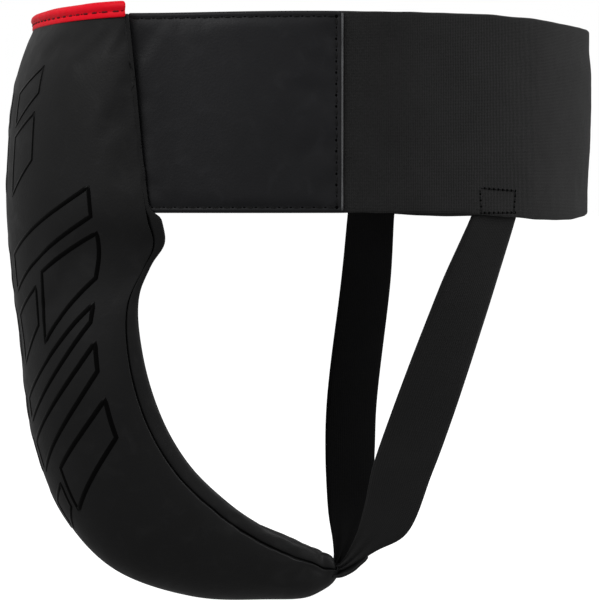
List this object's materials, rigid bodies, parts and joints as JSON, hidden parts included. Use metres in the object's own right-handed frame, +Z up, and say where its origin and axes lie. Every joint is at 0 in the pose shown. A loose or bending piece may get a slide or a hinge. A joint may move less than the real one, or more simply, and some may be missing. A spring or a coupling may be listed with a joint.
{
  "type": "groin protector",
  "caption": "Padded boxing groin guard with a hard cup in a tapering front, elastic waistband closed at the back, and elastic leg straps meeting under the tip.",
  "frame": {"origin": "centre of the waist loop, half way up the waistband: the wearer's middle", "axes": "+Z up, -Y the wearer's front, where the padded panel is, +X the wearer's left"},
  "size_m": [0.205, 0.3257, 0.3179],
  "materials": {
    "black_leather": "smooth matte synthetic leather",
    "red_leather": "smooth satin synthetic leather",
    "lining_fabric": "knitted polyester lining",
    "foam": "closed-cell foam sheet",
    "cup_plastic": "moulded hard plastic",
    "elastic_weave": "wide ribbed woven elastic",
    "strap_weave": "woven elastic webbing",
    "hook_tape": "nylon hook tape",
    "loop_tape": "nylon loop tape"
  },
  "bodies": {
    "front": {"front_cover": "black_leather", "gusset_left": "black_leather", "gusset_right": "black_leather", "top_trim": "red_leather", "tip_tab": "black_leather", "abdomen_foam": "foam", "cup_outer_foam": "foam", "cup_inner_foam": "foam", "tip_foam": "foam", "hard_cup": "cup_plastic", "body_lining": "lining_fabric", "wing_cover_left": "black_leather", "wing_foam_left": "foam", "wing_lining_left": "lining_fabric", "wing_cover_right": "black_leather", "wing_foam_right": "foam", "wing_lining_right": "lining_fabric"},
    "belt_left": {"elastic_left": "elastic_weave", "strap_end_left": "strap_weave"},
    "belt_right": {"elastic_right": "elastic_weave", "strap_end_right": "strap_weave", "loop_patch": "loop_tape"},
    "closure": {"closure_tab": "black_leather", "hook_patch": "hook_tape"},
    "strap_left": {"leg_strap_left": "strap_weave"},
    "strap_right": {"leg_strap_right": "strap_weave"}
  },
  "joints": [
    {"name": "belt_left_swing", "type": "hinge", "parent": "front", "child": "belt_left", "pos_m": [0.0975, -0.01384, 0], "axis": [0, 0, -1], "range_deg": [0, 60]},
    {"name": "belt_right_swing", "type": "hinge", "parent": "front", "child": "belt_right", "pos_m": [-0.0975, -0.01384, 0], "axis": [0, 0, 1], "range_deg": [0, 9]},
    {"name": "closure_peel", "type": "hinge", "parent": "belt_left", "child": "closure", "pos_m": [-0.00615, 0.16303, 0], "axis": [0, 0, -1], "range_deg": [0, 110]},
    {"name": "strap_left_swing", "type": "hinge", "parent": "front", "child": "strap_left", "pos_m": [0.005, 0.0106, -0.2444], "axis": [0.4333, 0.7929, -0.4284], "range_deg": [0, 19]},
    {"name": "strap_right_swing", "type": "hinge", "parent": "front", "child": "strap_right", "pos_m": [-0.005, 0.0106, -0.2444], "axis": [-0.0007, -0.9561, 0.293], "range_deg": [0, 3.5]}
  ],
  "couplings": [
    {"joint": "belt_right_swing", "follows": "belt_left_swing", "ratio": 0.15},
    {"joint": "strap_left_swing", "follows": "belt_left_swing", "ratio": 0.314},
    {"joint": "strap_right_swing", "follows": "belt_left_swing", "ratio": 0.056}
  ]
}
